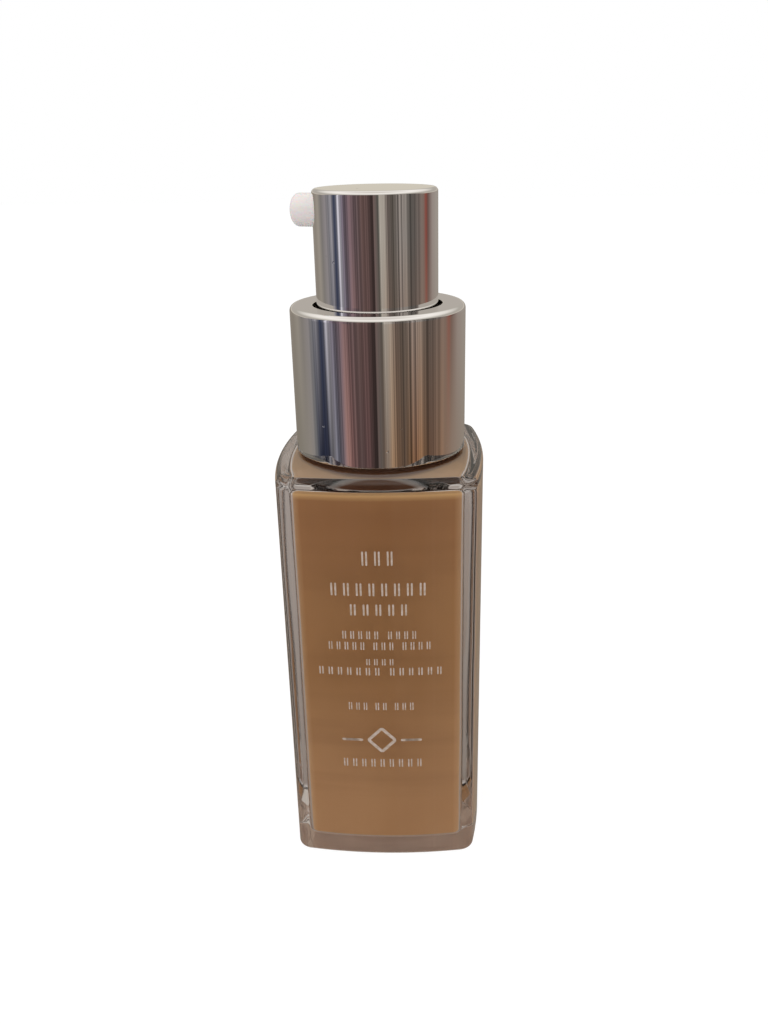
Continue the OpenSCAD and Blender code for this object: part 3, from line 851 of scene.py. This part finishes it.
def surroundings():
    """White to the camera, an even grey to matt surfaces, and a room to mirrors and glass."""
    world = bpy.data.worlds.new("studio")
    bpy.context.scene.world = world
    w = WorldNodes(world)
    direction = w.node("ShaderNodeSeparateXYZ", [(0, w.node("ShaderNodeTexCoord").outputs["Generated"])])
    x, y, z = (direction.outputs[k] for k in "XYZ")
    azimuth = w.math("ARCTAN2", x, w.math("MULTIPLY", y, -1.0))
    share = w.remap(azimuth, 0.0, 1.0, -pi, pi)
    low = w.ramp(share, LOW_SURROUND, -180, 180)
    high = w.ramp(share, HIGH_SURROUND, -180, 180)
    level = w.remap(z, 0.0, 1.0, -0.3, -0.1)
    noise = w.node("ShaderNodeTexNoise", [("W", azimuth), ("Scale", 4.6), ("Detail", 4.0),
                                          ("Roughness", 0.76)], noise_dimensions="1D").outputs[0]
    ahead = w.remap(y, 1.0, 0.0, -0.5, 0.25)
    streaks = w.node("ShaderNodeMix", [(0, ahead), (2, 1.0), (3, w.remap(noise, 0.42, 2.0, 0.38, 0.62))])
    around = w.node("ShaderNodeVectorMath", [(0, w.mix(level, low, high)), ("Scale", streaks.outputs[0])],
                    operation="SCALE").outputs[0]
    height = w.remap(z, 0.0, 1.0, -1.0, 1.0)
    above = w.ramp(height, OVERHEAD, -1, 1)
    raised = w.math("MULTIPLY_ADD", ahead, -0.3, z)     # the streaks carry on further up in front
    over = w.remap(raised, 0.0, 1.0, 0.02, 0.05)
    room = w.mix(over, around, above)
    path = w.node("ShaderNodeLightPath").outputs
    seen = w.mix(path["Is Glossy Ray"], PLAIN_GREY, room)
    seen = w.mix(path["Is Transmission Ray"], seen, w.ramp(height, BEHIND_GLASS, -1, 1))
    matt = w.math("GREATER_THAN", path["Diffuse Depth"], 0.5)
    seen = w.mix(matt, seen, PLAIN_GREY)
    seen = w.mix(path["Is Camera Ray"], seen, WHITE_LIGHT)
    background = w.node("ShaderNodeBackground", [("Color", seen), ("Strength", 1.0)])
    w.node("ShaderNodeOutputWorld", [("Surface", background.outputs[0])])


def floor():
    """Pale floor that keeps a soft shadow: part of its light is its own, for the camera only."""
    half = 1.5
    mesh = bpy.data.meshes.new("floor")
    corners = [(-half, -half, 0), (half, -half, 0), (half, half, 0), (-half, half, 0)]
    mesh.from_pydata(corners, [], [(0, 1, 2, 3)])
    made = bpy.data.objects.new("floor", mesh)
    bpy.context.scene.collection.objects.link(made)
    made.visible_glossy = False
    made.visible_transmission = False
    material = bpy.data.materials.new("pale_floor")
    material.use_nodes = True
    nodes, links = material.node_tree.nodes, material.node_tree.links
    shader = nodes["Principled BSDF"]
    shader.inputs["Base Color"].default_value = (0.86, 0.86, 0.86, 1)
    shader.inputs["Roughness"].default_value = 0.9
    shader.inputs["Specular IOR Level"].default_value = 0.0
    glow = nodes.new("ShaderNodeEmission")
    path = nodes.new("ShaderNodeLightPath")
    share = nodes.new("ShaderNodeMath")
    share.operation = "MULTIPLY"
    share.inputs[1].default_value = 0.8
    mix = nodes.new("ShaderNodeMixShader")
    links.new(path.outputs["Is Camera Ray"], share.inputs[0])
    links.new(share.outputs[0], mix.inputs[0])
    links.new(shader.outputs[0], mix.inputs[1])
    links.new(glow.outputs[0], mix.inputs[2])
    links.new(mix.outputs[0], nodes["Material Output"].inputs["Surface"])
    glow.inputs["Strength"].default_value = 1.12
    mesh.materials.append(material)


camera()
surroundings()
floor()
soft_lamp("key", (-0.35, -0.45, 0.55), (0, 0, 0.05), (0.35, 0.35), 1.15)
soft_lamp("fill", (0.45, -0.35, 0.4), (0, 0, 0.05), (0.3, 0.3), 0.55, (1.0, 0.97, 0.93))
soft_lamp("top", (0.0, 0.1, 0.7), (0, 0, 0.05), (0.4, 0.4), 0.6)

bpy.context.scene.cycles.glossy_bounces = REPEATED_MIRRORING
bpy.context.scene.view_settings.view_transform = "Standard"
